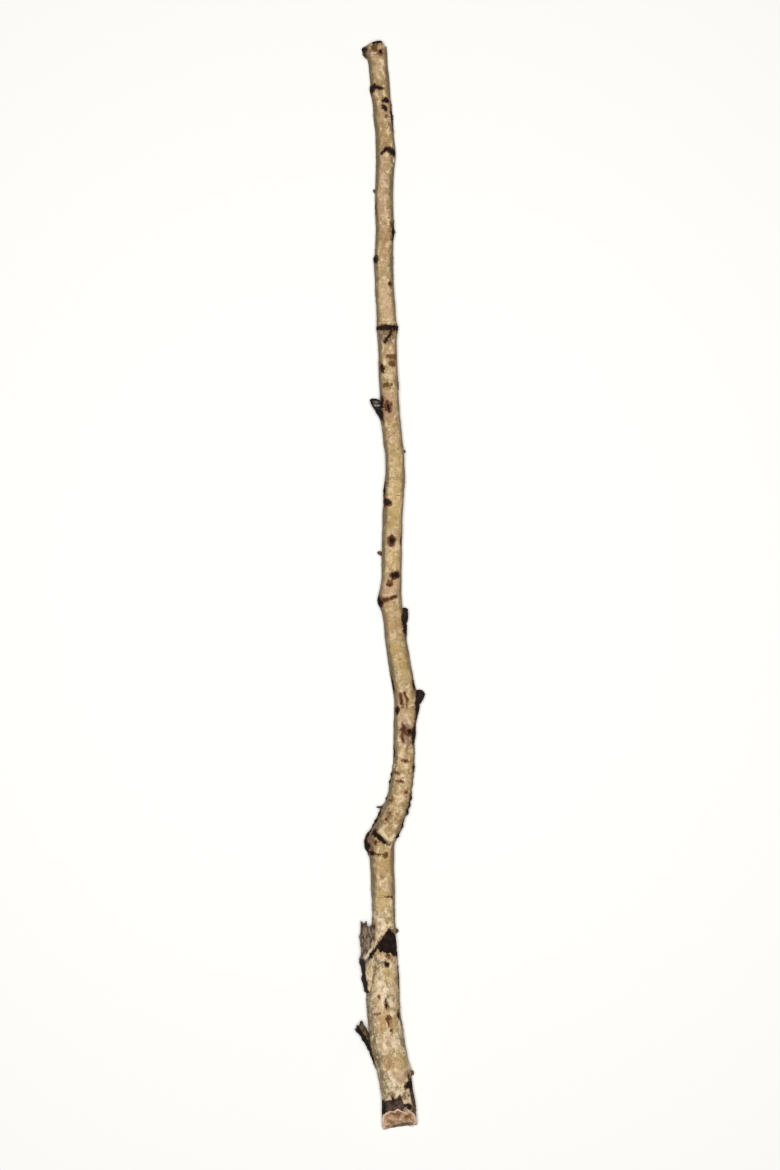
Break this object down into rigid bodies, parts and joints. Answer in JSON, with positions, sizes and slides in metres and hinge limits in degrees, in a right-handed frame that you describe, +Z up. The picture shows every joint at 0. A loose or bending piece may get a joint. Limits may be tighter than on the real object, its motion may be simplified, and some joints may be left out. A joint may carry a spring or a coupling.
{
  "type": "birch branch",
  "caption": "Dry cut birch branch lying down: one crooked tapering stem with sawn ends, broken side-branch stubs, bark ridges and buds.",
  "frame": {"origin": "middle of the box round the branch, on the surface it lies on", "axes": "+X along the branch from the thick sawn butt to the thin tip, +Z up, +Y to the left seen from above with the tip away"},
  "size_m": [1.0018, 0.0643, 0.0314],
  "materials": {
    "bark": "dry cream-tan birch bark, matt, with black scars, rusty stains and pale paper flecks"
  },
  "bodies": {
    "root": {"birch_branch": "bark"}
  },
  "joints": []
}
